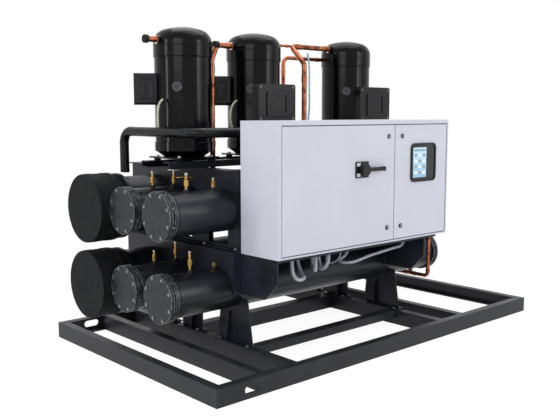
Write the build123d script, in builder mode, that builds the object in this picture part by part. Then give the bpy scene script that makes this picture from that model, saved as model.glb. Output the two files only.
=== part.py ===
"""Water-cooled chiller on a steel skid: six horizontal vessels in two rows, three upright
hermetic compressors above them, refrigerant pipes, and a control cabinet with two doors."""

import os
from math import atan2, degrees, radians, tan

from build123d import *

os.makedirs("parts", exist_ok=True)

# Frame: origin on the ground at the middle of the skid, +X along the vessels,
# -Y towards the control cabinet, +Z up. All sizes are in millimetres.

# Skid
skid_length = 2320
skid_width = 1365
rail_height = 80
rail_flange = 43
rail_web = 6
rail_lip = 8
beam_places = [-886, -698, 376, 562]
beam_width = 44
beam_web = 5
lift_slot_length = 84
lift_slot_height = 34
lift_slot_inset = 190
tie_height = 40
tie_width = 60
tie_wall = 5
front_tie_y = -330
back_tie_y = 178

# Vessels
vessel_left = -1112
vessel_right = 802
front_column_y = -196
middle_column_y = 92
rear_column_y = 376
upper_row_z = 724
lower_row_z = 352
shell_radius = 100
shell_wall = 6
cover_radius = 111
cover_thickness = 18
gasket_radius = 102
gasket_thickness = 9
flange_thickness = 15
rear_shell_radius = 146
rear_shell_wall = 12
rear_upper_z = 712
rear_lower_z = 334
rear_cap_radius = 168
rear_cap_length = 140
rear_cap_taper = 28
rear_cap_proud = 40
rear_ring_radius = 164
rear_ring_thickness = 16
rear_ring_gap = 8

# Supports
plate_thickness = 6
left_saddle_x = -765
right_saddle_x = 309
saddle_depth = 68
upper_saddle_inset = 38
upper_plate_top = 912
joint_height = 540
joint_overhang = 20
joint_flange_thickness = 6
plate_front_y = -304
plate_back_y = 616
plate_seam = 0.5
saddle_bottom = 337
window_width = 150
window_bottom = 557
window_shift = 55
foot_width = 70
foot_thickness = 8
front_leg_foot = 259
front_leg_foot_shift = -38
front_leg_top = 199
front_leg_top_shift = -30
middle_leg_width = 170
middle_leg_shift = 23
rear_leg_width = 240
saddle_drop = 46
rib_gap = 20
rib_top = 10
left_bracket_x = -721
right_bracket_x = 330
bracket_front_y = -558
bracket_nose_z = 420
bracket_toe_y = -474
channel_front_y = -556
channel_depth = 40
channel_height = 14
channel_wall = 3
channel_right = 435
tray_depth = 40
tray_height = 40
tray_wall = 2

# Compressors
compressor_places = [-732, -277, 435]
compressor_y = 120
compressor_radius = 140
compressor_cap_radius = 144
compressor_top_z = 1592
dome_height = 80
dome_knuckle = 68
cap_height = 144
base_height = 70
base_radius = 98
base_edge = 30
bearer_height = 32
bearer_width = 50
bearer_wall = 5
bearer_spread = 190
bearer_left = -905
bearer_right = 610
foot_plate_size = 260
foot_plate_thickness = 8
foot_plate_corner = 20
grommet_radius = 17
grommet_height = 12
grommet_spacing = 190
outlet_drops = [68, 73, 51]
outlet_radius = 22
outlet_reach = 6
sight_drop = 292
sight_radius = 22
sight_reach = 30

# Electrical boxes on the compressors
front_box_width = 256
front_box_height = 192
front_box_drop = 268
front_box_depth = 35
front_box_wrap = 50
front_box_shifts = [11, 68]
box_corner = 13
box_panel_width = 148
box_panel_height = 128
box_panel_proud = 6
box_panel_shift = 2
box_panel_lower = 5
box_panel_rim = 16
box_panel_recess = 4
side_box_width = 96
side_box_height = 152
side_box_drop = 224
side_box_depth = 100
side_box_turn = 31

# Control cabinet
cabinet_left = -725
cabinet_right = 508
cabinet_front = -568
cabinet_back = -312
cabinet_bottom = 529
cabinet_top = 1142
cabinet_wall = 3
cabinet_rim = 20
cabinet_slim_rim = 8
door_thickness = 18
door_gap = 5
door_split = 66
door_setback = 2
isolator_x = -181
isolator_z = 906
isolator_plate_width = 90
isolator_plate_height = 78
isolator_plate_thickness = 6
knob_radius = 27
knob_depth = 26
lever_length = 150
lever_width = 18
lever_thickness = 14
screen_left = 192
screen_right = 398
screen_bottom = 823
screen_top = 1022
screen_frame_thickness = 8
screen_corner = 26
screen_border = 10
screen_glass_thickness = 4
seal_width = 38
plate_standoff = 20
plate_margin = 60
standoff_radius = 6
split_gap = 6
door_sheet = 2
shaft_radius = 6
shaft_clearance = 0.5
boss_height = 5
isolator_corner = 4
knob_clearance = 0.5
lever_knob = 3

# Pipes
header_radius = 23
header_x = -918
header_top_z = 1086
header_bend = 60
header_front_y = -216
header_end_x = 480
branch_radius = 17
pipe_radius = 14
thin_pipe_radius = 7
stub_end_x = -952
stub_cap_radius = 19.5
stub_cap_length = 18
riser_x = -555
riser_knee_x = -523
riser_knee_z = 1445
riser_knee_bend = 30
drop_x = -5
drop_front_y = 16
drop_knee_z = 1440
drop_return_y = 92
drop_return_z = 1080
drop_bend = 28
small_pipe_radius = 11
return_x = 58
return_y = 254
return_z = 1490
return_bend = 40
liquid_x = 684
liquid_front_y = -324
liquid_low_z = 224
liquid_bend = 26

# Service valves: stem height above the vessel, and place along it
stem_radius = 6
valve_radius = 11
valve_length = 26
valve_share = 0.45
upper_middle_valves = [(-939, 77), (-817, 66)]
upper_front_valves = [(-948, 85), (-795, 54)]
lower_middle_valves = [(-938, 66), (-814, 96), (-642, 110)]
lower_front_valves = [(-934, 99), (-795, 30)]

# Conduits and wires under the cabinet, each by the points of its route
conduit_diameter = 19
loop_diameter = 8
bundle_diameter = 14
cord_bend_share = 0.45
conduit_1_route = [
    (-551, -470, 529), (-551, -470, 478), (-545, -470, 427), (-508, -468, 393),
    (-456, -460, 396), (-424, -410, 400), (-396, -362, 412), (-384, -334, 450),
    (-384, -334, 489),
]
conduit_2_route = [
    (-405, -480, 529), (-405, -480, 486), (-402, -477, 444), (-382, -455, 420),
    (-344, -412, 424), (-302, -358, 418), (-286, -334, 450), (-286, -334, 489),
]
conduit_3_route = [
    (-315, -480, 529), (-315, -480, 488), (-315, -473, 449), (-314, -444, 422),
    (-296, -406, 414), (-254, -362, 416), (-240, -334, 450), (-240, -334, 489),
]
cable_loop_route = [
    (-228, -480, 529), (-228, -480, 496), (-231, -470, 464), (-241, -444, 442),
    (-243, -408, 436), (-222, -376, 440), (-205, -350, 442), (-176, -334, 455),
    (-176, -334, 489),
]
wire_bundle_route = [
    (-120, -430, 529), (-120, -430, 490), (-146, -430, 462), (-187, -432, 450),
    (-212, -450, 447), (-222, -480, 446), (-212, -510, 447), (-187, -528, 450),
    (-135, -525, 456), (-50, -512, 464), (60, -498, 468), (170, -488, 474),
    (224, -482, 474), (246, -482, 484), (259, -482, 504), (259, -482, 529),
]


def write(builder, node):
    """Label a finished piece and write it to its own file."""
    builder.part.label = node
    export_step(builder.part, f"parts/{node}.step")


def trim_to_vessel(axis_y, axis_z, radius):
    """Cut from the open part what lies inside a vessel, so that a pipe ends on its skin."""
    with BuildSketch(Plane.YZ.offset(vessel_left)) as bore:
        with Locations((axis_y, axis_z)):
            Circle(radius)
    extrude(bore.sketch, amount=vessel_right - vessel_left, mode=Mode.SUBTRACT)


def sweep_tube(points, radius, bends):
    """Sweep a round bar along straight runs joined by bends of the given radius or radii."""
    with BuildLine() as route:
        FilletPolyline(*points, radius=bends)
    path = route.wires()[0]
    with BuildSketch(Plane(origin=path @ 0, z_dir=path % 0)) as section:
        Circle(radius)
    sweep(section.sketch, path=path)


# Skid frame: four channels with the web outside, mitred at the corners, with a
# lifting slot through the left end of the front and back ones
half_length = skid_length / 2
half_width = skid_width / 2
skid_sides = [
    ("front_rail", half_length, half_width, (-1, 0, 0)),
    ("back_rail", half_length, half_width, (1, 0, 0)),
    ("left_end_rail", half_width, half_length, (0, 1, 0)),
    ("right_end_rail", half_width, half_length, (0, -1, 0)),
]
for node, half_span, outside, along in skid_sides:
    with BuildPart() as rail:
        for start_z, height, near, mode in (
            (0, rail_height, 0, Mode.ADD),
            (rail_lip, rail_height - 2 * rail_lip, rail_web, Mode.SUBTRACT),
        ):
            with BuildSketch(Plane(origin=(0, 0, start_z), x_dir=along, z_dir=(0, 0, 1))):
                with BuildLine():
                    Polyline(
                        (-half_span + near, outside - near),
                        (half_span - near, outside - near),
                        (half_span - rail_flange, outside - rail_flange),
                        (-half_span + rail_flange, outside - rail_flange),
                        close=True,
                    )
                make_face()
            extrude(amount=height, mode=mode)
        if node in ("front_rail", "back_rail"):
            with BuildSketch(Plane.XZ.offset(along[0] * -half_width)):
                with Locations((-half_length + lift_slot_inset, rail_height / 2)):
                    SlotOverall(lift_slot_length, lift_slot_height)
            extrude(amount=rail_web, both=True, mode=Mode.SUBTRACT)
    write(rail, node)

# Cross-beams: channels coped to fit between the flanges of the rails
beam_span = skid_width - 2 * rail_flange
tongue_span = skid_width - 2 * rail_web
beam_middles = [(beam_x, rail_height / 2) for beam_x in beam_places]
beam_cores = [(beam_x + beam_web, rail_height / 2) for beam_x in beam_places]
with BuildPart() as cross_beams:
    with BuildSketch(Plane.XZ.offset(-beam_span / 2)):
        with Locations(beam_middles):
            Rectangle(beam_width, rail_height)
    extrude(amount=beam_span)
    with BuildSketch(Plane.XZ.offset(-tongue_span / 2)):
        with Locations(beam_middles):
            Rectangle(beam_width, rail_height - 2 * rail_lip)
    extrude(amount=tongue_span)
    with BuildSketch(Plane.XZ.offset(-tongue_span / 2)):
        with Locations(beam_cores):
            Rectangle(beam_width, rail_height - 2 * rail_lip - 2 * beam_web)
    extrude(amount=tongue_span, mode=Mode.SUBTRACT)
write(cross_beams, "cross_beams")

# Ties along the skid between the second and third cross-beam: a low channel in
# front, and a full-height one under the middle column of vessels
tie_left = beam_places[1] + beam_width / 2
tie_right = beam_places[2] - beam_width / 2
for node, tie_y, height in (
    ("front_tie", front_tie_y, tie_height),
    ("back_tie", back_tie_y, rail_height),
):
    with BuildPart() as tie:
        with BuildSketch(Plane.YZ.offset(tie_left)):
            with Locations((tie_y, rail_height - height / 2)):
                Rectangle(tie_width, height)
            with Locations((tie_y + tie_wall, rail_height - height / 2)):
                Rectangle(tie_width, height - 2 * tie_wall, mode=Mode.SUBTRACT)
        extrude(amount=tie_right - tie_left)
    write(tie, node)

# Slim vessels: a tube with a bolting ring at each end, closed by flat covers
ring_left = vessel_left + cover_thickness + gasket_thickness
ring_right = vessel_right - cover_thickness - gasket_thickness
slim_vessels = (
    ("front_upper_vessel", front_column_y, upper_row_z),
    ("front_lower_vessel", front_column_y, lower_row_z),
    ("middle_upper_vessel", middle_column_y, upper_row_z),
    ("middle_lower_vessel", middle_column_y, lower_row_z),
)
for node, axis_y, axis_z in slim_vessels:
    with BuildPart() as shell:
        with BuildSketch(Plane.YZ.offset(ring_left)):
            with Locations((axis_y, axis_z)):
                Circle(shell_radius)
        extrude(amount=ring_right - ring_left)
        for ring_x in (ring_left, ring_right - flange_thickness):
            with BuildSketch(Plane.YZ.offset(ring_x)):
                with Locations((axis_y, axis_z)):
                    Circle(cover_radius)
            extrude(amount=flange_thickness)
        with BuildSketch(Plane.YZ.offset(ring_left)):
            with Locations((axis_y, axis_z)):
                Circle(shell_radius - shell_wall)
        extrude(amount=ring_right - ring_left, mode=Mode.SUBTRACT)
    write(shell, node)
    with BuildPart() as covers:
        for face_x, inward in ((vessel_left, 1), (vessel_right, -1)):
            with BuildSketch(Plane.YZ.offset(face_x)):
                with Locations((axis_y, axis_z)):
                    Circle(cover_radius)
            extrude(amount=inward * cover_thickness)
            with BuildSketch(Plane.YZ.offset(face_x)):
                with Locations((axis_y, axis_z)):
                    Circle(gasket_radius)
            extrude(amount=inward * (cover_thickness + gasket_thickness))
    write(covers, f"{node}_covers")

# Thick vessels at the back: an insulated tube with a thin ring near each end and
# a fatter insulated cap that tapers down to the tube
cap_left = vessel_left - rear_cap_proud
cap_right = vessel_right + rear_cap_proud
shell_left = cap_left + rear_cap_length + rear_cap_taper
shell_right = cap_right - rear_cap_length - rear_cap_taper
rear_vessels = (
    ("rear_upper_vessel", rear_upper_z),
    ("rear_lower_vessel", rear_lower_z),
)
for node, axis_z in rear_vessels:
    with BuildPart() as shell:
        with BuildSketch(Plane.YZ.offset(shell_left)):
            with Locations((rear_column_y, axis_z)):
                Circle(rear_shell_radius)
        extrude(amount=shell_right - shell_left)
        for ring_x in (shell_left + rear_ring_gap, shell_right - rear_ring_gap - rear_ring_thickness):
            with BuildSketch(Plane.YZ.offset(ring_x)):
                with Locations((rear_column_y, axis_z)):
                    Circle(rear_ring_radius)
            extrude(amount=rear_ring_thickness)
        with BuildSketch(Plane.YZ.offset(shell_left)):
            with Locations((rear_column_y, axis_z)):
                Circle(rear_shell_radius - rear_shell_wall)
        extrude(amount=shell_right - shell_left, mode=Mode.SUBTRACT)
    write(shell, node)
    with BuildPart() as caps:
        for face_x, inward in ((cap_left, 1), (cap_right, -1)):
            with BuildSketch(Plane.XZ.offset(-rear_column_y)):
                with BuildLine():
                    Polyline(
                        (face_x, axis_z),
                        (face_x, axis_z + rear_cap_radius),
                        (face_x + inward * rear_cap_length, axis_z + rear_cap_radius),
                        (face_x + inward * (rear_cap_length + rear_cap_taper), axis_z + rear_shell_radius),
                        (face_x + inward * (rear_cap_length + rear_cap_taper), axis_z),
                        close=True,
                    )
                make_face()
            revolve(axis=Axis((face_x, rear_column_y, axis_z), (1, 0, 0)))
    write(caps, f"{node}_caps")

# Supports at each end: legs on the skid, then two box saddles that are bolted
# together between the rows, the upper one carrying the compressor bearers
lower_holes = [
    (front_column_y, lower_row_z, shell_radius),
    (middle_column_y, lower_row_z, shell_radius),
    (rear_column_y, rear_lower_z, rear_shell_radius),
]
upper_holes = [
    (front_column_y, upper_row_z, shell_radius),
    (middle_column_y, upper_row_z, shell_radius),
    (rear_column_y, rear_upper_z, rear_shell_radius),
]
plate_width = plate_back_y - plate_front_y
plate_middle_y = (plate_front_y + plate_back_y) / 2
for side, saddle_x in (("left", left_saddle_x), ("right", right_saddle_x)):
    plate_places = (saddle_x, saddle_x + saddle_depth - plate_thickness)
    flange_place = (saddle_x + saddle_depth / 2, plate_middle_y)
    flange_length = saddle_depth + 2 * joint_overhang
    upper_depth = saddle_depth - upper_saddle_inset
    upper_x = saddle_x + upper_saddle_inset if side == "left" else saddle_x
    with BuildPart() as upper:
        for plate_x in (upper_x, upper_x + upper_depth - plate_thickness):
            with BuildSketch(Plane.YZ.offset(plate_x)):
                with Locations((plate_middle_y, (joint_height + upper_plate_top) / 2)):
                    Rectangle(plate_width, upper_plate_top - joint_height)
                for hole_y, hole_z, hole_radius in upper_holes:
                    with Locations((hole_y, hole_z)):
                        Circle(hole_radius + plate_seam, mode=Mode.SUBTRACT)
                for window_y in (front_column_y, middle_column_y):
                    with Locations((window_y + window_shift, (window_bottom + upper_row_z) / 2)):
                        Rectangle(window_width, upper_row_z - window_bottom, mode=Mode.SUBTRACT)
            extrude(amount=plate_thickness)
        for flange_z in (joint_height, upper_plate_top - joint_flange_thickness):
            with BuildSketch(Plane.XY.offset(flange_z)):
                with Locations((upper_x + upper_depth / 2, plate_middle_y)):
                    Rectangle(upper_depth + 2 * joint_overhang, plate_width)
            extrude(amount=joint_flange_thickness)
        with BuildSketch(Plane.XZ.offset(-plate_front_y - plate_thickness)):
            with Locations((upper_x + upper_depth / 2, (joint_height + upper_plate_top) / 2)):
                Rectangle(upper_depth, upper_plate_top - joint_height)
        extrude(amount=plate_thickness)
        for hole_y, hole_z, hole_radius in upper_holes:
            trim_to_vessel(hole_y, hole_z, hole_radius + plate_seam)
    write(upper, f"{side}_upper_support")

    bracket_x = left_bracket_x if side == "left" else right_bracket_x
    with BuildPart() as lower:
        for plate_x in plate_places:
            with BuildSketch(Plane.YZ.offset(plate_x)):
                with Locations((plate_middle_y, (saddle_bottom + joint_height) / 2)):
                    Rectangle(plate_width, joint_height - saddle_bottom)
            extrude(amount=plate_thickness)
        with BuildSketch(Plane.XY.offset(joint_height - joint_flange_thickness)):
            with Locations(flange_place):
                Rectangle(flange_length, plate_width)
        extrude(amount=joint_flange_thickness)
        with BuildSketch(Plane.XZ.offset(-plate_front_y - plate_thickness)):
            with Locations((saddle_x + saddle_depth / 2, (saddle_bottom + joint_height) / 2)):
                Rectangle(saddle_depth, joint_height - saddle_bottom)
        extrude(amount=plate_thickness)
        with BuildSketch(Plane.YZ.offset(bracket_x)):
            with BuildLine():
                Polyline(
                    (bracket_front_y, cabinet_bottom - channel_height),
                    (bracket_front_y, bracket_nose_z),
                    (bracket_toe_y, saddle_bottom),
                    (plate_front_y + plate_thickness, saddle_bottom),
                    (plate_front_y + plate_thickness, cabinet_bottom),
                    (channel_front_y + channel_depth, cabinet_bottom),
                    (channel_front_y + channel_depth, cabinet_bottom - channel_height),
                    close=True,
                )
            make_face()
        extrude(amount=plate_thickness)
        for hole_y, hole_z, hole_radius in lower_holes:
            trim_to_vessel(hole_y, hole_z, hole_radius + plate_seam)
    write(lower, f"{side}_lower_support")

front_leg_y = front_column_y + front_leg_foot_shift
legs = [
    (front_leg_y, front_leg_foot, front_column_y + front_leg_top_shift, front_leg_top,
     (front_column_y, lower_row_z, shell_radius)),
    (middle_column_y + middle_leg_shift, middle_leg_width, middle_column_y + middle_leg_shift,
     middle_leg_width, (middle_column_y, lower_row_z, shell_radius)),
    (rear_column_y, rear_leg_width, rear_column_y, rear_leg_width,
     (rear_column_y, rear_lower_z, rear_shell_radius)),
]
for side, beam_x in (("left", beam_places[1]), ("right", beam_places[2])):
    with BuildPart() as side_legs:
        for foot_y, foot_length, top_y, top_length, (axis_y, axis_z, radius) in legs:
            with BuildSketch(Plane.YZ.offset(beam_x - plate_thickness / 2)):
                with BuildLine():
                    Polyline(
                        (foot_y - foot_length / 2, rail_height),
                        (foot_y + foot_length / 2, rail_height),
                        (top_y + top_length / 2, axis_z - saddle_drop),
                        (top_y - top_length / 2, axis_z - saddle_drop),
                        close=True,
                    )
                make_face()
            extrude(amount=plate_thickness)
            with BuildSketch(Plane.XY.offset(rail_height)):
                with Locations((beam_x, foot_y)):
                    Rectangle(foot_width, foot_length)
            extrude(amount=foot_thickness)
            with BuildSketch(Plane.XZ.offset(-axis_y - plate_thickness / 2)):
                with BuildLine():
                    Polyline(
                        (beam_x - foot_width / 2, rail_height),
                        (beam_x, rail_height),
                        (beam_x, axis_z - radius - rib_gap),
                        (beam_x - rib_top, axis_z - radius - rib_gap),
                        close=True,
                    )
                make_face()
            extrude(amount=plate_thickness)
            trim_to_vessel(axis_y, axis_z, radius + plate_seam)
    write(side_legs, f"{side}_legs")

# Bearers: two channels along the top of the supports under the compressors
bearer_top = upper_plate_top + bearer_height
bearer_middle_z = upper_plate_top + bearer_height / 2
with BuildPart() as compressor_bearers:
    for side in (-1, 1):
        bearer_y = compressor_y + side * bearer_spread / 2
        with BuildSketch(Plane.YZ.offset(bearer_left)):
            with Locations((bearer_y, bearer_middle_z)):
                Rectangle(bearer_width, bearer_height)
            with Locations((bearer_y - side * bearer_wall, bearer_middle_z)):
                Rectangle(bearer_width, bearer_height - 2 * bearer_wall, mode=Mode.SUBTRACT)
        extrude(amount=bearer_right - bearer_left)
write(compressor_bearers, "compressor_bearers")

# Compressors: an upright welded shell with a domed cap and base on a foot plate,
# an outlet boss on the left of the dome and a sight-glass boss on the front left
foot_plate_bottom = bearer_top + grommet_height
foot_plate_top = foot_plate_bottom + foot_plate_thickness
seam_z = compressor_top_z - cap_height
spring_z = compressor_top_z - dome_height
knuckle_reach = compressor_cap_radius - dome_knuckle
crown_radius = (knuckle_reach**2 + dome_height**2 - dome_knuckle**2) / (2 * (dome_height - dome_knuckle))
crown_z = compressor_top_z - crown_radius
knuckle_turn = degrees(atan2(spring_z - crown_z, knuckle_reach))
sight_direction = Vector(-1, -1, 0).normalized()
compressors = []
for number, (place_x, outlet_drop) in enumerate(zip(compressor_places, outlet_drops), 1):
    rim_x = place_x + compressor_cap_radius
    base_top_z = foot_plate_top + base_height
    with BuildPart() as compressor:
        with BuildSketch(Plane.XZ.offset(-compressor_y)):
            with BuildLine():
                Polyline(
                    (place_x, compressor_top_z),
                    (place_x, foot_plate_top),
                    (place_x + base_radius, foot_plate_top),
                    (rim_x, foot_plate_top + base_edge),
                    (rim_x, base_top_z),
                    (place_x + compressor_radius, base_top_z),
                    (place_x + compressor_radius, seam_z),
                    (rim_x, seam_z),
                    (rim_x, spring_z),
                )
                CenterArc((place_x + knuckle_reach, spring_z), dome_knuckle, 0, knuckle_turn)
                CenterArc((place_x, crown_z), crown_radius, knuckle_turn, 90 - knuckle_turn)
            make_face()
        revolve(axis=Axis((place_x, compressor_y, 0), (0, 0, 1)))
        with BuildSketch(Plane.XY.offset(foot_plate_bottom)):
            with Locations((place_x, compressor_y)):
                RectangleRounded(foot_plate_size, foot_plate_size, foot_plate_corner)
        extrude(amount=foot_plate_thickness)
        with BuildSketch(Plane.YZ.offset(place_x)):
            with Locations((compressor_y, compressor_top_z - outlet_drop)):
                Circle(outlet_radius)
        extrude(amount=-(compressor_cap_radius + outlet_reach))
        sight_middle = Vector(place_x, compressor_y, compressor_top_z - sight_drop)
        with BuildSketch(Plane(origin=sight_middle, z_dir=sight_direction)):
            Circle(sight_radius)
        extrude(amount=compressor_radius + sight_reach)
    write(compressor, f"compressor_{number}")
    compressors.append(compressor.part)

with BuildPart() as grommets:
    with BuildSketch(Plane.XY.offset(bearer_top)):
        for place_x in compressor_places:
            with Locations((place_x, compressor_y)):
                with GridLocations(grommet_spacing, grommet_spacing, 2, 2):
                    Circle(grommet_radius)
    extrude(amount=grommet_height)
write(grommets, "compressor_grommets")

# Electrical boxes: a wide one on the front of compressors 2 and 3, and a narrow
# one on the left of compressors 1 and 2
front_box_face_y = compressor_y - compressor_radius - front_box_depth
front_box_back_y = compressor_y - front_box_wrap
front_box_z = compressor_top_z - front_box_drop - front_box_height / 2
panel_z = front_box_z - box_panel_lower
panel_face_y = front_box_face_y - box_panel_proud
for number, box_shift in zip((2, 3), front_box_shifts):
    box_x = compressor_places[number - 1] + box_shift
    with BuildPart() as box:
        with BuildSketch(Plane.XZ.offset(-front_box_face_y)):
            with Locations((box_x, front_box_z)):
                RectangleRounded(front_box_width, front_box_height, box_corner)
        extrude(amount=front_box_face_y - front_box_back_y)
        with BuildSketch(Plane.XZ.offset(-front_box_face_y)):
            with Locations((box_x + box_panel_shift, panel_z)):
                RectangleRounded(box_panel_width, box_panel_height, box_corner)
        extrude(amount=box_panel_proud)
        with BuildSketch(Plane.XZ.offset(-panel_face_y)):
            with Locations((box_x + box_panel_shift, panel_z)):
                RectangleRounded(
                    box_panel_width - 2 * box_panel_rim, box_panel_height - 2 * box_panel_rim, box_corner / 2
                )
        extrude(amount=-box_panel_recess, mode=Mode.SUBTRACT)
        add(compressors[number - 1], mode=Mode.SUBTRACT)
    write(box, f"front_box_{number}")

side_box_z = compressor_top_z - side_box_drop - side_box_height / 2
for number in (1, 2):
    place_x = compressor_places[number - 1]
    outward = Vector(-1, 0, 0).rotate(Axis.Z, -side_box_turn)
    face_middle = Vector(place_x, compressor_y, side_box_z) + outward * (compressor_radius + side_box_depth)
    with BuildPart() as box:
        with BuildSketch(Plane(origin=face_middle, x_dir=Vector(0, 0, 1), z_dir=-outward)):
            RectangleRounded(side_box_height, side_box_width, box_corner)
        extrude(amount=side_box_depth + compressor_radius / 2)
        add(compressors[number - 1], mode=Mode.SUBTRACT)
    write(box, f"side_box_{number}")

# Cabinet carriers: a channel under the front edge and a cable tray under the back,
# both resting on or between the brackets
channel_back_y = channel_front_y + channel_depth
channel_bottom = cabinet_bottom - channel_height
with BuildPart() as cabinet_bearer:
    with BuildSketch(Plane.YZ.offset(left_bracket_x)):
        with Locations(((channel_front_y + channel_back_y) / 2, (channel_bottom + cabinet_bottom) / 2)):
            Rectangle(channel_depth, channel_height)
        with Locations(
            ((channel_front_y + channel_back_y) / 2, (channel_bottom + cabinet_bottom) / 2 - channel_wall)
        ):
            Rectangle(channel_depth - 2 * channel_wall, channel_height, mode=Mode.SUBTRACT)
    extrude(amount=channel_right - left_bracket_x)
write(cabinet_bearer, "cabinet_bearer")

tray_left = left_bracket_x + plate_thickness
tray_middle = (cabinet_back - tray_depth / 2, cabinet_bottom - tray_height / 2)
with BuildPart() as cable_tray:
    with BuildSketch(Plane.YZ.offset(tray_left)):
        with Locations(tray_middle):
            Rectangle(tray_depth, tray_height)
        with Locations((tray_middle[0], tray_middle[1] + tray_wall)):
            Rectangle(tray_depth - 2 * tray_wall, tray_height, mode=Mode.SUBTRACT)
    extrude(amount=right_bracket_x - tray_left)
write(cable_tray, "cable_tray")

# Control cabinet: a folded steel shell open at the front, with a rim around the
# doors that is slim at the right and below, a sealing frame behind them and a
# mounting plate on the back wall
cabinet_width = cabinet_right - cabinet_left
cabinet_height = cabinet_top - cabinet_bottom
cabinet_depth = cabinet_back - cabinet_front
cabinet_mid = ((cabinet_left + cabinet_right) / 2, (cabinet_bottom + cabinet_top) / 2)
opening_width = cabinet_width - cabinet_rim - cabinet_slim_rim
opening_height = cabinet_height - cabinet_rim - cabinet_slim_rim
opening_shift = (cabinet_rim - cabinet_slim_rim) / 2
opening_mid = (cabinet_mid[0] + opening_shift, cabinet_mid[1] - opening_shift)
seal_y = cabinet_front + door_setback + door_thickness + door_gap
with BuildPart() as cabinet:
    with BuildSketch(Plane.XZ.offset(-cabinet_back)):
        with Locations(cabinet_mid):
            Rectangle(cabinet_width, cabinet_height)
    extrude(amount=cabinet_depth)
    with BuildSketch(Plane.XZ.offset(-cabinet_back + cabinet_wall)):
        with Locations(cabinet_mid):
            Rectangle(cabinet_width - 2 * cabinet_wall, cabinet_height - 2 * cabinet_wall)
    extrude(amount=cabinet_depth, mode=Mode.SUBTRACT)
    with BuildSketch(Plane.XZ.offset(-cabinet_front - cabinet_wall)):
        with Locations(cabinet_mid):
            Rectangle(cabinet_width, cabinet_height)
        with Locations(opening_mid):
            Rectangle(opening_width, opening_height, mode=Mode.SUBTRACT)
    extrude(amount=cabinet_wall)
    with BuildSketch(Plane.XZ.offset(-seal_y - cabinet_wall)):
        with Locations(cabinet_mid):
            Rectangle(cabinet_width, cabinet_height)
            Rectangle(cabinet_width - 2 * seal_width, cabinet_height - 2 * seal_width, mode=Mode.SUBTRACT)
    extrude(amount=cabinet_wall)
write(cabinet, "cabinet")

with BuildPart() as mounting_plate:
    with BuildSketch(Plane.XZ.offset(-cabinet_back + cabinet_wall + plate_standoff)):
        with Locations(cabinet_mid):
            Rectangle(cabinet_width - 2 * plate_margin, cabinet_height - 2 * plate_margin)
    extrude(amount=cabinet_wall)
    with BuildSketch(Plane.XZ.offset(-cabinet_back + cabinet_wall)):
        with Locations(cabinet_mid):
            with GridLocations(
                cabinet_width - 2 * plate_margin - 4 * standoff_radius,
                cabinet_height - 2 * plate_margin - 4 * standoff_radius, 2, 2,
            ):
                Circle(standoff_radius)
    extrude(amount=plate_standoff)
write(mounting_plate, "mounting_plate")

# Doors: folded steel pans that sit inside the rim and swing outwards
door_bottom = cabinet_bottom + cabinet_slim_rim + door_gap
door_top = cabinet_top - cabinet_rim - door_gap
door_face_y = cabinet_front + door_setback
door_edges = {
    "left_door": (cabinet_left + cabinet_rim + door_gap, door_split - split_gap / 2),
    "right_door": (door_split + split_gap / 2, cabinet_right - cabinet_slim_rim - door_gap),
}
for node, (low_x, high_x) in door_edges.items():
    with BuildPart() as door:
        with BuildSketch(Plane.XZ.offset(-door_face_y - door_thickness)):
            with Locations(((low_x + high_x) / 2, (door_bottom + door_top) / 2)):
                Rectangle(high_x - low_x, door_top - door_bottom)
        extrude(amount=door_thickness)
        with BuildSketch(Plane.XZ.offset(-door_face_y - door_thickness)):
            with Locations(((low_x + high_x) / 2, (door_bottom + door_top) / 2)):
                Rectangle(high_x - low_x - 2 * door_sheet, door_top - door_bottom - 2 * door_sheet)
        extrude(amount=door_thickness - door_sheet, mode=Mode.SUBTRACT)
        if node == "left_door":
            with BuildSketch(Plane.XZ.offset(-door_face_y - door_thickness)):
                with Locations((isolator_x, isolator_z)):
                    Circle(shaft_radius + shaft_clearance)
            extrude(amount=door_thickness, mode=Mode.SUBTRACT)
    write(door, node)

# Isolator: a square plate with a raised boss on the left door, and a turning
# handle with a long lever on a shaft through both
plate_face_y = door_face_y - isolator_plate_thickness
boss_face_y = plate_face_y - boss_height
with BuildPart() as isolator_plate:
    with BuildSketch(Plane.XZ.offset(-door_face_y)):
        with Locations((isolator_x, isolator_z)):
            RectangleRounded(isolator_plate_width, isolator_plate_height, isolator_corner)
    extrude(amount=isolator_plate_thickness)
    with BuildSketch(Plane.XZ.offset(-plate_face_y)):
        with Locations((isolator_x, isolator_z)):
            Circle(knob_radius)
    extrude(amount=boss_height)
    with BuildSketch(Plane.XZ.offset(-door_face_y)):
        with Locations((isolator_x, isolator_z)):
            Circle(shaft_radius + shaft_clearance)
    extrude(amount=isolator_plate_thickness + boss_height, mode=Mode.SUBTRACT)
write(isolator_plate, "isolator_plate")

knob_back_y = boss_face_y - knob_clearance
lever_end_x = isolator_x + lever_length
with BuildPart() as isolator_handle:
    with BuildSketch(Plane.XZ.offset(-knob_back_y)):
        with Locations((isolator_x, isolator_z)):
            Circle(knob_radius)
    extrude(amount=knob_depth)
    with BuildSketch(Plane.XZ.offset(-knob_back_y)):
        with Locations(((isolator_x + lever_end_x) / 2, isolator_z)):
            Rectangle(lever_length - lever_width, lever_width)
        with Locations((lever_end_x - lever_width / 2, isolator_z)):
            Circle(lever_width / 2 + lever_knob)
    extrude(amount=lever_thickness)
    with BuildSketch(Plane.XZ.offset(-door_face_y - door_thickness)):
        with Locations((isolator_x, isolator_z)):
            Circle(shaft_radius)
    extrude(amount=door_face_y + door_thickness - knob_back_y)
write(isolator_handle, "isolator_handle")

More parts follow.
